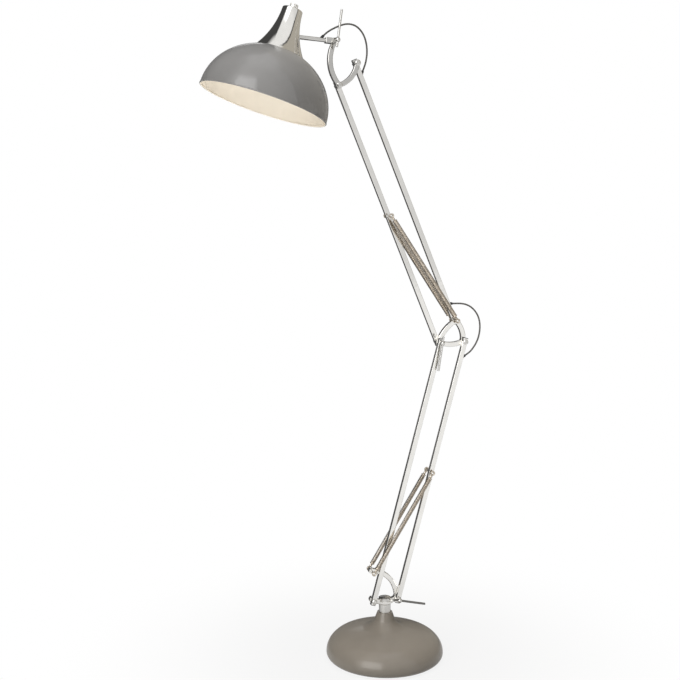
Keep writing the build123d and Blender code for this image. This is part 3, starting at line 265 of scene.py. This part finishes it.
def chrome_finish(name, base, roughness):
    """Bright plating: mirror metal with faint clouds of haze and a slow ripple under them."""
    finish = new_finish(name)
    haze = finish.noise(38.0, 4.0, 0.6)
    fine = finish.noise(900.0, 2.0, 0.5)
    return finish.principled(
        Base_Color=finish.mix(haze.step(0.35, 0.75), tinted(base, 0.97), tinted(base, 1.03)),
        Metallic=1.0,
        Roughness=roughness + 0.05 * haze + 0.02 * fine,
        Normal=finish.bump(finish.noise(60.0, 1.0), 0.00015),
    )


def enamel_finish(name, base):
    """Sprayed gloss enamel: faint clouds in the colour and a fine orange-peel surface."""
    finish = new_finish(name)
    cloud = finish.noise(14.0, 3.0, 0.55)
    peel = finish.noise(520.0, 2.0, 0.45)
    return finish.principled(
        Base_Color=finish.mix(cloud.step(0.3, 0.7), tinted(base, 0.965), tinted(base, 1.035)),
        Roughness=0.34 + 0.07 * cloud,
        Specular_IOR_Level=0.3,
        Coat_Weight=0.55,
        Coat_Roughness=0.08,
        Normal=finish.bump(peel, 0.00012, 0.25),
    )


def shade_finish(name, outside, inside, sizes, rim, axis):
    """Two enamels parted inside the shade's wall, by the distance from its own axis."""
    finish = new_finish(name)
    here = finish.place()
    away = finish.node("ShaderNodeVectorMath", {"operation": "SUBTRACT"}, {0: here, 1: rim})
    height = Signal(finish, finish.node(
        "ShaderNodeVectorMath", {"operation": "DOT_PRODUCT"}, {0: away.outputs[0], 1: axis}
    ).outputs["Value"])
    reach = Signal(finish, finish.node(
        "ShaderNodeVectorMath", {"operation": "LENGTH"}, {0: away.outputs[0]}
    ).outputs["Value"])
    beside = reach ** 2.0 - height ** 2.0
    half_wall = sizes.shade_wall / 2
    wide, tall = sizes.shade_radius - half_wall, sizes.shade_rise - half_wall
    bowl = beside / wide ** 2 + height * height / tall ** 2
    outer = bowl.step(0.999, 1.001)
    cloud = finish.noise(14.0, 3.0, 0.55)
    peel = finish.noise(520.0, 2.0, 0.45)
    out_colour = finish.mix(cloud.step(0.3, 0.7), tinted(outside, 0.97), tinted(outside, 1.03))
    in_colour = finish.mix(cloud.step(0.3, 0.7), tinted(inside, 0.98), tinted(inside, 1.01))
    return finish.principled(
        Base_Color=finish.mix(outer, in_colour, out_colour),
        Roughness=0.42 - 0.08 * outer + 0.06 * cloud,
        Specular_IOR_Level=0.3,
        Coat_Weight=outer * 0.8,
        Coat_Roughness=0.08,
        Normal=finish.bump(peel, 0.00012, 0.25),
    )


def plastic_finish(name, base, roughness):
    """Moulded plastic or rubber: a fine spark-eroded grain."""
    finish = new_finish(name)
    grain = finish.noise(1400.0, 3.0, 0.6)
    cloud = finish.noise(60.0, 2.0)
    return finish.principled(
        Base_Color=finish.mix(cloud, tinted(base, 0.85), tinted(base, 1.2)),
        Roughness=roughness + 0.12 * grain,
        Normal=finish.bump(grain, 0.0001, 0.5),
    )


def spring_finish(name, base):
    """Drawn spring wire: metal with brownish temper clouds and fine drawing lines."""
    finish = new_finish(name)
    temper = finish.noise(120.0, 3.0, 0.6)
    lines = finish.noise(1800.0, 2.0, 0.5)
    return finish.principled(
        Base_Color=finish.mix(temper.step(0.3, 0.7), tinted(base, 0.85), tinted(base, 1.15)),
        Metallic=1.0,
        Roughness=0.27 + 0.1 * lines,
        Normal=finish.bump(lines, 0.00005, 0.3),
    )


def rough_finish(name, base, scale, depth, roughness):
    """Cast or felted surface: coarse grains over fine ones."""
    finish = new_finish(name)
    coarse = finish.noise(scale, 5.0, 0.65)
    return finish.principled(
        Base_Color=finish.mix(coarse.step(0.3, 0.7), tinted(base, 0.7), tinted(base, 1.3)),
        Roughness=roughness,
        Normal=finish.bump(coarse, depth),
    )


THREAD_TURNING = 1570.0  # of the bulb's screw thread, in radians to the metre


def bulb_finish(name, neck, axis):
    """Frosted glass below the neck and a bright screw cap above it."""
    finish = new_finish(name)
    away = finish.node(
        "ShaderNodeVectorMath", {"operation": "SUBTRACT"}, {0: finish.place(), 1: neck}
    )
    height = Signal(finish, finish.node(
        "ShaderNodeVectorMath", {"operation": "DOT_PRODUCT"}, {0: away.outputs[0], 1: axis}
    ).outputs["Value"])
    cap = height.step(-0.0003, 0.0003)
    thread = (height * THREAD_TURNING).sine()
    frost = finish.noise(900.0, 2.0)
    return finish.principled(
        Base_Color=finish.mix(cap, (0.90, 0.89, 0.86), (0.72, 0.70, 0.66)),
        Metallic=cap,
        Roughness=0.35 - 0.1 * cap + 0.08 * frost,
        Coat_Weight=(1.0 - cap) * 0.3,
        Normal=finish.bump(thread * cap, 0.0006),
    )


# ---------------------------------------------------------------- surfaces


def grid_faces(rows, columns, looped=False):
    """Quads of a grid whose columns close on themselves, and whose rows do too if looped."""
    row = np.arange(rows if looped else rows - 1)[:, None]
    here = np.arange(columns)[None, :]
    ahead = (here + 1) % columns
    low, high = row * columns, (row + 1) % rows * columns
    return np.stack([low + here, low + ahead, high + ahead, high + here], -1).reshape(-1, 4)


def pole_faces(first, sides, pole, at_start):
    """Triangles between a single point and the ring whose points begin at first."""
    here = np.arange(sides)
    ahead = (here + 1) % sides
    pair = (ahead, here) if at_start else (here, ahead)
    return np.stack([first + pair[0], first + pair[1], np.full(sides, pole)], -1)


def tube_surface(line, across, beside, radius, sides):
    """Round tube: each point of the line, plus radius times the cosine of an angle along across
    and its sine along beside, which is the line's direction crossed with across. Its ends are
    closed by a point each."""
    turn = np.linspace(0, 2 * np.pi, sides, endpoint=False)
    ring = (
        np.cos(turn)[None, :, None] * across[:, None, :]
        + np.sin(turn)[None, :, None] * beside[:, None, :]
    )
    points = (line[:, None, :] + radius * ring).reshape(-1, 3)
    count = len(points)
    faces = [
        grid_faces(len(line), sides), pole_faces(0, sides, count, True),
        pole_faces(count - sides, sides, count + 1, False),
    ]
    return np.vstack([points, line[:1], line[-1:]]), faces


def turned_surface(profile, start, axis, across, sides):
    """Turned piece: each (radius, height) of the profile, carried round the axis from start, with
    the heights growing. An end without a radius becomes a single point."""
    profile = np.asarray(profile, float)
    beside = np.cross(axis, across)
    turn = np.linspace(0, 2 * np.pi, sides, endpoint=False)
    ring = np.cos(turn)[:, None] * across + np.sin(turn)[:, None] * beside
    wide = profile[profile[:, 0] > 0]
    points = start + (
        wide[:, 1][:, None, None] * axis + wide[:, 0][:, None, None] * ring[None]
    ).reshape(-1, 3)
    faces = [grid_faces(len(wide), sides)]
    for (radius, height), first, at_start in (
        (profile[0], 0, True), (profile[-1], len(points) - sides, False),
    ):
        if radius == 0:
            faces.append(pole_faces(first, sides, len(points), at_start))
            points = np.vstack([points, start + height * axis])
    return points, faces


def joined_mesh(name, surfaces, material):
    """One object from several surfaces, smooth, with its place in its mesh."""
    points = np.vstack([surface[0] for surface in surfaces])
    starts = np.cumsum([0] + [len(surface[0]) for surface in surfaces[:-1]])
    faces = []
    for start, (_, groups) in zip(starts, surfaces):
        for group in groups:
            faces.extend((group + start).tolist())
    mesh = bpy.data.meshes.new(name)
    mesh.from_pydata(points.tolist(), [], faces)
    mesh.polygons.foreach_set("use_smooth", np.ones(len(faces), bool))
    mesh.validate()
    mesh.update()
    mesh.materials.append(material)
    piece = bpy.data.objects.new(name, mesh)
    bpy.context.collection.objects.link(piece)
    return piece


def box_middle(node):
    """Middle of a CAD node's box."""
    low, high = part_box(node)
    return np.array((low + high) / 2)


def material_of(name):
    """A finish made before, by its name."""
    return bpy.data.materials[name]


# ---------------------------------------------------------------- operators

CHROME = (
    "swivel_bracket", "elbow_frame", "lower_left_rod", "lower_right_rod", "upper_left_rod",
    "upper_right_rod", "shade_cap",
)
SMOKED = ("head_bracket", "head_fork", "head_arm")
SATIN = ("post", "post_cap")
BRIGHT = (
    "base_foot_nut", "base_pivot_washers", "base_pivot_fasteners", "base_spring_pin",
    "base_clamp_screw", "lower_rod_spring_studs", "elbow_washers", "elbow_pivot_fasteners",
    "elbow_spring_pin", "elbow_clamp_screw", "upper_rod_spring_pin", "head_washers",
    "head_pivot_fasteners", "head_clamp_screw", "base_spacer", "switch_knob",
)
LEVERS = ("elbow_clamp_lever", "head_clamp_lever")
# the base's lever takes plating tinted far darker than the rest: a painted dark reflection,
# standing in for the dark room that its round bar mirrors
LEVERS_PAINTED_DARK = ("base_clamp_lever",)
BLACK = (
    "mains_gland", "lower_left_rod_plugs", "lower_right_rod_plugs", "upper_left_rod_plugs",
    "upper_right_rod_plugs", "lower_rod_grommet", "upper_rod_grommets", "head_grommet",
    "switch_body", "lampholder", "shade_ring",
)
INNER_CABLES = ("lower_rod_cable", "upper_rod_cable", "head_arm_cable")


def shade_frame():
    """Middle of the shade's rim, and the direction of its axis, from the knob's joint."""
    knob = JOINTS["switch_turn"]
    axis = np.array(knob["axis"], float)
    axis /= np.linalg.norm(axis)
    foot = bpy.context.scene.lamp_sizes.knob_foot
    return np.array(knob["pos_m"], float) - foot * axis, axis


class LAMP_OT_finishes(bpy.types.Operator):
    """Make the finishes and put them on the pieces that come from the frame"""

    bl_idname = "lamp.finishes"
    bl_label = "Finishes"

    def execute(self, context):
        sizes, colours = context.scene.lamp_sizes, context.scene.lamp_colours
        rim, axis = shade_frame()
        neck = rim + axis * sizes.bulb_neck
        worn = {
            chrome_finish("chrome_plate", tuple(colours.chrome), 0.06): CHROME,
            chrome_finish("smoked_plate", tinted(colours.chrome, 0.70), 0.08): SMOKED,
            chrome_finish("satin_plate", tinted(colours.chrome, 0.82), 0.30): SATIN,
            chrome_finish("bright_steel", tinted(colours.chrome, 0.78), 0.12): BRIGHT,
            chrome_finish("brushed_steel", tinted(colours.chrome, 0.72), 0.36): LEVERS,
            # plating tinted to about a quarter of its brightness: painted dark reflection on the
            # base's lever
            chrome_finish("dark_steel", tinted(colours.chrome, 0.26), 0.30): LEVERS_PAINTED_DARK,
            plastic_finish("black_plastic", tuple(colours.black), 0.34): BLACK,
            plastic_finish("cable_sheath", tuple(colours.cable), 0.45): INNER_CABLES,
            enamel_finish("base_enamel", tuple(colours.base)): ("base_cover",),
            shade_finish(
                "shade_enamel", tuple(colours.shade_outside), tuple(colours.shade_inside),
                sizes, rim, axis,
            ): ("shade",),
            rough_finish("cast_iron", (0.12, 0.12, 0.12), 160.0, 0.0008, 0.62): ("base_weight",),
            rough_finish("felt", (0.05, 0.055, 0.05), 2200.0, 0.0006, 0.95): ("base_pad",),
            rough_finish("cast_alloy", (0.55, 0.55, 0.56), 400.0, 0.0003, 0.45): ("head_hub",),
            bulb_finish("bulb_glass", tuple(neck), tuple(axis)): ("bulb",),
        }
        spring_finish("spring_wire", tuple(colours.spring))
        for material, nodes in worn.items():
            for node in nodes:
                mesh = frame["nodes"][node].data
                mesh.materials.clear()
                mesh.materials.append(material)
        return {"FINISHED"}


# a spring's eye, as (distance from its pin, depth), and the flat shank that joins it to the plug
EYE_SECTION = (
    (0.00305, 0.0015), (0.0058, 0.0015), (0.0062, 0.0011), (0.0062, -0.0011),
    (0.0058, -0.0015), (0.00305, -0.0015),
)
SHANK_SECTION = ((-0.0015, -0.0025), (0.0015, -0.0025), (0.0015, 0.0025), (-0.0015, 0.0025))


def spring_surfaces(low, high, sizes):
    """A close-wound helix between two turned end plugs, each with a flat eye round its pin.
    The helix is radius times (cosine, sine) of an angle that grows evenly along the axis, and
    its radius shrinks over its last turns to fit the plugs. A plug's profile is given as
    (radius, distance from the pin)."""
    span = np.linalg.norm(high - low)
    axis = (high - low) / span
    depth = np.array([0.0, 1.0, 0.0])
    beside = np.cross(axis, depth)
    start, end = sizes.spring_end, span - sizes.spring_end
    turns = round((end - start) / sizes.spring_pitch)
    share = np.linspace(0, 1, turns * 20 + 1)
    angle = 2 * np.pi * turns * share
    height = start + (end - start) * share
    from_end = np.minimum(share, 1 - share) * turns
    radius = sizes.spring_radius - 0.0009 * np.clip(1 - from_end / 1.5, 0, 1) ** 2
    out = np.cos(angle)[:, None] * depth + np.sin(angle)[:, None] * beside
    around = -np.sin(angle)[:, None] * depth + np.cos(angle)[:, None] * beside
    line = low + height[:, None] * axis + radius[:, None] * out
    climb = (end - start) / (2 * np.pi * turns)
    normal = -climb * around + sizes.spring_radius * axis
    normal /= np.linalg.norm(normal, axis=1)[:, None]
    surfaces = [tube_surface(line, out, -normal, sizes.spring_wire / 2, 8)]
    wire = sizes.spring_radius + sizes.spring_wire / 2
    plug = [
        (0.0, start - 0.0068), (0.0023, start - 0.006), (0.0026, start - 0.0034),
        (wire - 0.0006, start - 0.003), (wire + 0.0001, start - 0.0022),
        (wire + 0.0001, start - 0.0005), (wire - 0.0004, start), (0.0037, start),
        (0.0037, start + 0.003), (0.0031, start + 0.0045), (0.0, start + 0.005),
    ]
    eye_turn = np.linspace(0, 2 * np.pi, 48, endpoint=False)
    shank_at = np.linspace(EYE_SECTION[1][0] - 0.0003, start - 0.0028, 4)
    for pin, way in ((low, axis), (high, -axis)):
        surfaces.append(turned_surface(plug, pin, way, depth, 32))
        sideways = np.cross(way, depth)
        ring = np.cos(eye_turn)[:, None] * way + np.sin(eye_turn)[:, None] * sideways
        section = np.array(EYE_SECTION)
        eye = (
            pin + section[:, 0][:, None, None] * ring[None] + section[:, 1][:, None, None] * depth
        ).reshape(-1, 3)
        surfaces.append((eye, [grid_faces(len(section), len(eye_turn), looped=True)]))
        edge = np.array(SHANK_SECTION)
        shank = (
            pin + shank_at[:, None, None] * way
            + edge[:, 0][None, :, None] * depth + edge[:, 1][None, :, None] * sideways
        ).reshape(-1, 3)
        ends = np.array([(3, 2, 1, 0), np.arange(len(shank) - 4, len(shank))])
        surfaces.append((shank, [grid_faces(len(shank_at), len(edge)), ends]))
    return surfaces


class LAMP_OT_springs(bpy.types.Operator):
    """Wind the four springs closely and hook them on their pins"""

    bl_idname = "lamp.springs"
    bl_label = "Springs"

    def execute(self, context):
        sizes = context.scene.lamp_sizes
        pairs = (
            ("lower_spring", "base_spring_pin", "lower_rod_spring_studs", "swivel", "lower_right"),
            ("upper_spring", "elbow_spring_pin", "upper_rod_spring_pin", "elbow", "upper_left"),
        )
        for stem, low_pin, high_pin, still, moving in pairs:
            for side in ("near", "far"):
                node = f"{stem}_{side}"
                depth = box_middle(node)[1]
                low, high = box_middle(low_pin), box_middle(high_pin)
                low[1] = high[1] = depth
                piece = joined_mesh(
                    f"wound_{node}", spring_surfaces(low, high, sizes), material_of("spring_wire")
                )
                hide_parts(node)
                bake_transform(piece)
        return {"FINISHED"}


def route_points(name, route):
    """Points along the smooth spline whose control points are the route."""
    curve = bpy.data.curves.new(name, "CURVE")
    curve.dimensions = "3D"
    curve.resolution_u = 12
    spline = curve.splines.new("NURBS")
    spline.points.add(len(route) - 1)
    spline.points.foreach_set("co", np.c_[np.array(route), np.ones(len(route))].ravel())
    spline.order_u = 3
    spline.use_endpoint_u = True
    holder = bpy.data.objects.new(name, curve)
    bpy.context.collection.objects.link(holder)
    bpy.context.view_layer.update()
    mesh = bpy.data.meshes.new_from_object(
        holder.evaluated_get(bpy.context.evaluated_depsgraph_get())
    )
    points = np.zeros(len(mesh.vertices) * 3)
    mesh.vertices.foreach_get("co", points)
    bpy.data.meshes.remove(mesh)
    bpy.data.objects.remove(holder)
    bpy.data.curves.remove(curve)
    return points.reshape(-1, 3)


def cable_surface(line, radius):
    """Tube along a line that stays near the plane of the arms: across lies in that plane."""
    heading = np.gradient(line, axis=0)
    heading /= np.linalg.norm(heading, axis=1)[:, None]
    across = np.cross(heading, np.array([0.0, 1.0, 0.0]))
    across /= np.linalg.norm(across, axis=1)[:, None]
    return tube_surface(line, across, np.cross(heading, across), radius, 16)


class LAMP_OT_cables(bpy.types.Operator):
    """Lead the free runs of cable round the elbow and the head"""

    bl_idname = "lamp.cables"
    bl_label = "Cables"

    def execute(self, context):
        thickness = context.scene.lamp_sizes.cable
        runs = (
            ("head_cable_front", HEAD_FRONT_ROUTE, "head", "head_bracket"),
            ("head_cable_rear", HEAD_REAR_ROUTE, "head_bracket", "upper_right"),
            ("elbow_cable_upper", ELBOW_UPPER_ROUTE, "upper_right", "elbow"),
            ("elbow_cable_lower", ELBOW_LOWER_ROUTE, "elbow", "lower_right"),
        )
        for node, route, first, second in runs:
            line = route_points(node, route)
            piece = joined_mesh(
                f"led_{node}", [cable_surface(line, thickness / 2)], material_of("cable_sheath")
            )
            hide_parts(node)
            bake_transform(piece)
        return {"FINISHED"}


class LAMP_OT_stage(bpy.types.Operator):
    """Set the floor, the lamps, the world and the camera"""

    bl_idname = "lamp.stage"
    bl_label = "Stage"

    def execute(self, context):
        stage_floor()
        stage_lights(context)
        stage_world(context)
        stage_camera(context)
        return {"FINISHED"}


def stage_floor():
    """A wide white disc that still takes the lamp's shadow; near the base its colour is darkened as
    painted shade, and mirrors see it as a glow dimmed near the base as painted shade and dimmed
    behind the lamp.
    """
    turned = turned_surface(
        [(14.0, 0.0), (2.0, 0.0), (0.5, 0.0), (0.0, 0.0)], np.array([0.0, 0.0, -0.0005]),
        np.array([0.0, 0.0, 1.0]), np.array([1.0, 0.0, 0.0]), 96,
    )
    finish = new_finish("white_floor")
    ray = finish.node("ShaderNodeLightPath")
    seen = Signal(finish, ray.outputs["Is Camera Ray"])
    mirrored = Signal(finish, ray.outputs["Is Glossy Ray"])
    through = Signal(finish, ray.outputs["Is Transmission Ray"])
    reach = finish.node("ShaderNodeVectorMath", {"operation": "LENGTH"}, {0: finish.place()})
    near = 1.0 - Signal(finish, reach.outputs["Value"]).step(0.15, 0.9)
    # the floor's colour goes grey near the base: painted shade under the lamp, which also throws
    # back less light onto the base
    matt = finish.node("ShaderNodeBsdfDiffuse", values={
        "Color": finish.mix(near, (0.86, 0.86, 0.86), (0.52, 0.52, 0.52)),
    })
    # what mirrors see of the floor: a glow, dimmed near the base as painted shade and dimmed behind
    # the lamp
    mirrored_floor_glow = (0.92 - 0.22 * near) * (1.0 - 0.9 * finish.place(1).step(0.0, 0.5))
    glow = finish.node("ShaderNodeEmission", values={
        "Color": (1.0, 1.0, 1.0, 1.0), "Strength": 1.0 - mirrored * (1.0 - mirrored_floor_glow),
    })
    plain = (seen + mirrored + through) * (1.0 - 0.14 * near)
    both = finish.node(
        "ShaderNodeMixShader", values={0: plain, 1: matt.outputs[0], 2: glow.outputs[0]}
    )
    finish.node("ShaderNodeOutputMaterial", values={"Surface": both.outputs[0]})
    floor = joined_mesh("stage_floor", [turned], finish.owner)


def stage_lights(context):
    """Three soft boxes: a key from the left, a top light and a weak one below the shade."""
    for name, place, aim, size, power in (
        ("key_light", (-3.1, -1.9, 2.7), (0.0, 0.0, 0.9), 2.6, 82.0),
        ("top_light", (0.2, -0.5, 6.0), (0.0, 0.0, 0.9), 3.0, 175.0),
        ("bounce_light", (-0.55, -0.35, 0.45), (-0.3, 0.0, 1.4), 0.7, 6.0),
    ):
        data = bpy.data.lights.new(name, "AREA")
        data.shape = "SQUARE"
        data.size = size
        data.energy = power
        lamp = bpy.data.objects.new(name, data)
        lamp.location = place
        lamp.rotation_euler = (Vector(aim) - Vector(place)).to_track_quat("-Z", "Y").to_euler()
        lamp.visible_camera = False
        lamp.visible_glossy = False
        context.collection.objects.link(lamp)


# what the plating mirrors, as (bearing of the middle, half of the width, softness of the edges,
# lowest and highest upward share, brightness, warmth); bearings are in radians from +Y to +X
MIRRORED = (
    (1.28, 0.90, 0.06, -1.2, 0.93, 0.44, 1.0),
    (-0.85, 0.93, 0.08, -1.2, 0.96, 0.06, 0.0),
    (0.0, 0.56, 0.12, -1.2, 0.31, 0.14, 0.0),
    (0.2, 0.25, 0.10, 0.50, 0.98, 0.05, 0.0),
    (2.22, 0.07, 0.03, -1.2, 0.95, 0.06, 0.0),
)


def stage_world(context):
    """White behind the lamp, a plain pale light on it, and a darker room with one soft box for
    the plating to mirror."""
    world = bpy.data.worlds.new("studio")
    context.scene.world = world
    finish = Finish(world)
    direction = finish.node("ShaderNodeTexCoord").outputs["Generated"]
    parts = finish.node("ShaderNodeSeparateXYZ", values={"Vector": direction})
    east = Signal(finish, parts.outputs["X"])
    north = Signal(finish, parts.outputs["Y"])
    up = Signal(finish, parts.outputs["Z"])
    bearing = east.combine("ARCTAN2", east, north)
    level = 0.72 + 0.16 * up.step(0.2, 0.5)
    warm = 0.0
    for middle, half, edge, low, high, value, warmth in MIRRORED:
        inside = 1.0 - abs(bearing - middle).step(half - edge, half + edge)
        inside = inside * up.step(low - 0.04, low + 0.04)
        inside = inside * (1.0 - up.step(high - 0.04, high + 0.04))
        level = level + inside * (value - level)
        warm = warm + warmth * inside
    soft_box = 1.0 - abs(bearing + 2.37).step(0.26, 0.44)
    soft_box = soft_box * up.step(0.0, 0.16) * (1.0 - up.step(0.60, 0.80))
    level = level + soft_box * (3.8 - level)
    ray = finish.node("ShaderNodeLightPath")
    seen = Signal(finish, ray.outputs["Is Camera Ray"])
    mirrors = Signal(finish, ray.outputs["Is Glossy Ray"])
    plain = (1.0 - seen - mirrors).at_least(0.0)
    back = finish.node("ShaderNodeBackground", values={
        "Color": finish.mix(plain + mirrors * warm, (1.0, 1.0, 1.0), (1.0, 0.935, 0.82)),
        "Strength": seen + mirrors * level + plain * 0.21,
    })
    finish.node("ShaderNodeOutputWorld", values={"Surface": back.outputs[0]})


def stage_camera(context):
    """The photograph's viewpoint: slightly from the left, and tilted a little down."""
    data = bpy.data.cameras.new("photo_camera")
    data.sensor_fit = "HORIZONTAL"
    data.sensor_width = 36.0
    data.lens = 36.0 * 1080.0 / 680.0
    data.clip_end = 50.0
    camera = bpy.data.objects.new("photo_camera", data)
    camera.location = (-0.8397, -2.5382, 1.150)
    turn, tilt = np.radians(15.84), np.radians(7.02)
    ahead = Vector((np.sin(turn) * np.cos(tilt), np.cos(turn) * np.cos(tilt), -np.sin(tilt)))
    camera.rotation_euler = ahead.to_track_quat("-Z", "Y").to_euler()
    context.collection.objects.link(camera)
    context.scene.camera = camera


class LAMP_PT_panel(bpy.types.Panel):
    """Lists the lamp's pieces, sizes and colours"""

    bl_idname = "LAMP_PT_panel"
    bl_label = "Floor Lamp"
    bl_space_type = "VIEW_3D"
    bl_region_type = "UI"
    bl_category = "Floor Lamp"

    def draw(self, context):
        for operator in OPERATORS:
            self.layout.operator(operator.bl_idname)
        for group in (context.scene.lamp_sizes, context.scene.lamp_colours):
            box = self.layout.box()
            for name in group.__annotations__:
                box.prop(group, name)


OPERATORS = (LAMP_OT_stage, LAMP_OT_finishes, LAMP_OT_cables, LAMP_OT_springs)
CLASSES = (LampSizes, LampColours, *OPERATORS, LAMP_PT_panel)


def register():
    for cls in CLASSES:
        bpy.utils.register_class(cls)
    bpy.types.Scene.lamp_sizes = bpy.props.PointerProperty(type=LampSizes)
    bpy.types.Scene.lamp_colours = bpy.props.PointerProperty(type=LampColours)


def unregister():
    del bpy.types.Scene.lamp_colours
    del bpy.types.Scene.lamp_sizes
    for cls in reversed(CLASSES):
        bpy.utils.unregister_class(cls)


def main():
    register()
    bpy.context.scene.view_settings.view_transform = "Standard"
    bpy.ops.lamp.stage()
    bpy.ops.lamp.finishes()
    bpy.ops.lamp.cables()
    bpy.ops.lamp.springs()


if __name__ == "__main__":
    main()
